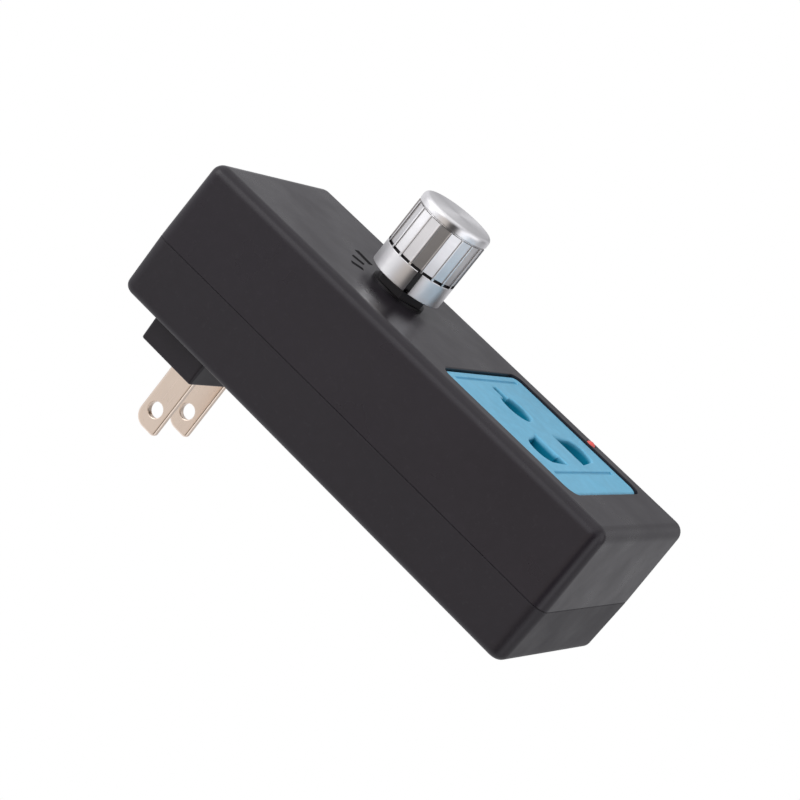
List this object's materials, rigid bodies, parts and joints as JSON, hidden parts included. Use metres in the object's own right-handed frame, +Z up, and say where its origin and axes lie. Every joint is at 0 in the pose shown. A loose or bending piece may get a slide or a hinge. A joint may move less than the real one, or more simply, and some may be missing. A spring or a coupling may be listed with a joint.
{
  "type": "motor speed controller",
  "caption": "Plug-in speed control box: flat-blade plug on its back, and a turning metal knob, a universal socket and a lamp on its front.",
  "frame": {"origin": "middle of the plug block's flat face, half way between the two blades", "axes": "+X to the right seen from the front, +Y out of the back towards the outlet along the blades, +Z up along the case towards the plug's end"},
  "size_m": [0.047, 0.074, 0.1064],
  "materials": {
    "case": "fine satin black moulding",
    "socket": "satin light blue moulding",
    "knob": "turned and clear anodised",
    "core": "moulded black",
    "blade": "nickel plated",
    "steel": "zinc plated",
    "nut": "dark plated",
    "contact": "bright spring brass",
    "lens": "clear red moulded dome",
    "board": "tan laminate",
    "tin": "tinned",
    "package": "moulded black epoxy",
    "sink": "extruded, plain",
    "track": "printed carbon on laminate",
    "ferrite": "sintered, dull grey",
    "copper": "enamelled copper",
    "film": "moulded box, ochre",
    "glass": "clear tube",
    "resistor": "lacquered",
    "diac": "small glass bead, blue",
    "lead_red": "insulation, red",
    "lead_white": "insulation, white",
    "lead_black": "insulation, black"
  },
  "bodies": {
    "case": {"front_shell": "case", "rear_shell": "case", "blade_clamp": "case", "blade_left": "blade", "blade_right": "blade", "pot_bushing": "steel", "pot_can": "steel", "pot_track": "track", "pot_terminals": "tin", "pot_washer": "steel", "pot_nut": "nut", "socket_face": "socket", "socket_base": "case", "contact_left": "contact", "contact_right": "contact", "contact_earth": "contact", "led_lens": "lens", "led_leads": "tin", "circuit_board": "board", "triac_body": "package", "triac_frame": "tin", "triac_screw": "steel", "heatsink": "sink", "choke_core": "ferrite", "choke_winding": "copper", "film_capacitor": "film", "fuse_body": "glass", "fuse_caps": "tin", "resistors": "resistor", "diac": "diac", "component_leads": "tin", "wire_live": "lead_black", "wire_neutral": "lead_white", "wire_load": "lead_red", "case_screws": "steel", "board_screws": "steel", "socket_screws": "steel", "clamp_screws": "steel"},
    "knob": {"knob_sleeve": "knob", "knob_core": "core", "pot_shaft": "sink", "pot_wiper": "contact"}
  },
  "joints": [
    {"name": "knob_turn", "type": "hinge", "parent": "case", "child": "knob", "pos_m": [0, -0.0377, -0.0222], "axis": [0, 1, 0], "range_deg": [-30, 270]}
  ]
}
